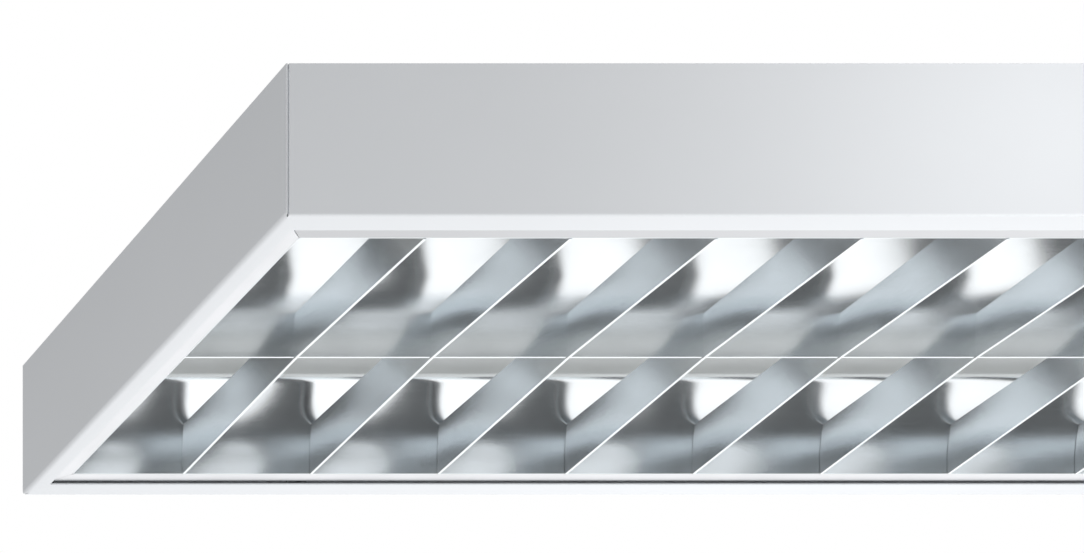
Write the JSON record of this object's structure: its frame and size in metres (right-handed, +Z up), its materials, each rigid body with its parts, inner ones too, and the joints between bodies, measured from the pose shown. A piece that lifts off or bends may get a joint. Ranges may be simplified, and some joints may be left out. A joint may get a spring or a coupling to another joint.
{
  "type": "louvered light fixture",
  "caption": "Long shallow ceiling light with a hinged louvre of satin aluminium under straight fluorescent tubes.",
  "frame": {"origin": "centre of the top plate's upper face, at the middle of the ceiling holes", "axes": "+Z up into the ceiling, +X along the tubes, the louvre's hinges at the +Y long side"},
  "size_m": [1.236, 0.295, 0.104],
  "materials": {
    "painted_steel": "smooth white paint",
    "white_tray": "glossy white paint",
    "rivet_metal": "plain",
    "plated_steel": "zinc plated",
    "ballast_case": "light grey",
    "white_plastic": "moulded",
    "grey_plastic": "moulded",
    "earth_brass": "plain",
    "grommet_rubber": "matt",
    "wire_cover": "plain",
    "tube_glass": "white coated inside",
    "rail_aluminium": "satin anodised",
    "satin_aluminium": "semi specular anodised"
  },
  "bodies": {
    "fixture": {"housing": "painted_steel", "end_cap_left": "painted_steel", "end_cap_right": "painted_steel", "rivets_left": "rivet_metal", "rivets_right": "rivet_metal", "gear_tray": "white_tray", "tray_screws": "plated_steel", "ballast": "ballast_case", "ballast_screws": "plated_steel", "terminal_block": "white_plastic", "earth_screw": "earth_brass", "cable_grommet": "grommet_rubber", "wiring_left": "wire_cover", "wiring_right": "wire_cover", "wiring_supply": "wire_cover", "holder_near_left": "white_plastic", "holder_near_right": "white_plastic", "holder_far_left": "white_plastic", "holder_far_right": "white_plastic", "hinge_bracket_left": "plated_steel", "hinge_bracket_right": "plated_steel", "hinge_pin_left": "plated_steel", "hinge_pin_right": "plated_steel", "catch_left": "plated_steel", "catch_right": "plated_steel"},
    "louvre": {"rail_near": "rail_aluminium", "rail_far": "rail_aluminium", "rail_left": "rail_aluminium", "rail_right": "rail_aluminium", "reflector_near": "satin_aluminium", "reflector_far": "satin_aluminium", "reflector_centre": "satin_aluminium", "reflector_left": "satin_aluminium", "reflector_right": "satin_aluminium", "cross_blade_1": "satin_aluminium", "cross_blade_2": "satin_aluminium", "cross_blade_3": "satin_aluminium", "cross_blade_4": "satin_aluminium", "cross_blade_5": "satin_aluminium", "cross_blade_6": "satin_aluminium", "cross_blade_7": "satin_aluminium", "cross_blade_8": "satin_aluminium", "cross_blade_9": "satin_aluminium", "cross_blade_10": "satin_aluminium", "cross_blade_11": "satin_aluminium"},
    "lamp_near": {"tube_near": "tube_glass", "cap_near_left": "rivet_metal", "cap_near_right": "rivet_metal", "rotor_near_left": "grey_plastic", "rotor_near_right": "grey_plastic"},
    "lamp_far": {"tube_far": "tube_glass", "cap_far_left": "rivet_metal", "cap_far_right": "rivet_metal", "rotor_far_left": "grey_plastic", "rotor_far_right": "grey_plastic"}
  },
  "joints": [
    {"name": "louvre_swing", "type": "hinge", "parent": "fixture", "child": "louvre", "pos_m": [0, 0.129, -0.0975], "axis": [1, 0, 0], "range_deg": [0, 90]},
    {"name": "lamp_near_twist", "type": "hinge", "parent": "fixture", "child": "lamp_near", "pos_m": [0, -0.0624, -0.034], "axis": [1, 0, 0], "range_deg": [0, 90]},
    {"name": "lamp_far_twist", "type": "hinge", "parent": "fixture", "child": "lamp_far", "pos_m": [0, 0.0624, -0.034], "axis": [1, 0, 0], "range_deg": [0, 90]}
  ]
}
